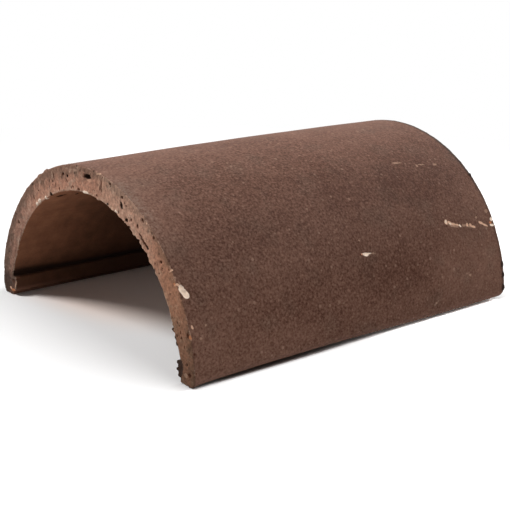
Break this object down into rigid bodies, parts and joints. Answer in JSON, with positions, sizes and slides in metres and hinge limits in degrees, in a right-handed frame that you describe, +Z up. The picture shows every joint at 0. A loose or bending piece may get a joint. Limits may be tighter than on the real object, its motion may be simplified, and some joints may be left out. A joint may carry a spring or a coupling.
{
  "type": "half-round clay ridge tile",
  "caption": "Half-round fired clay ridge tile with wire-cut ends, a thick crown and a grooved rib along the inside of each foot.",
  "frame": {"origin": "on the ground under the middle of the tile, halfway between the feet and halfway along", "axes": "+X runs along the ridge, from the near cut end to the far one; +Y points across to the foot that lies flat all along; +Z is up through the crown"},
  "size_m": [0.305, 0.2494, 0.1235],
  "materials": {
    "fired_clay": "unglazed, matt and fine-sandy, brown outside, paler and pitted on the cut ends"
  },
  "bodies": {
    "root": {"ridge_tile": "fired_clay"}
  },
  "joints": []
}
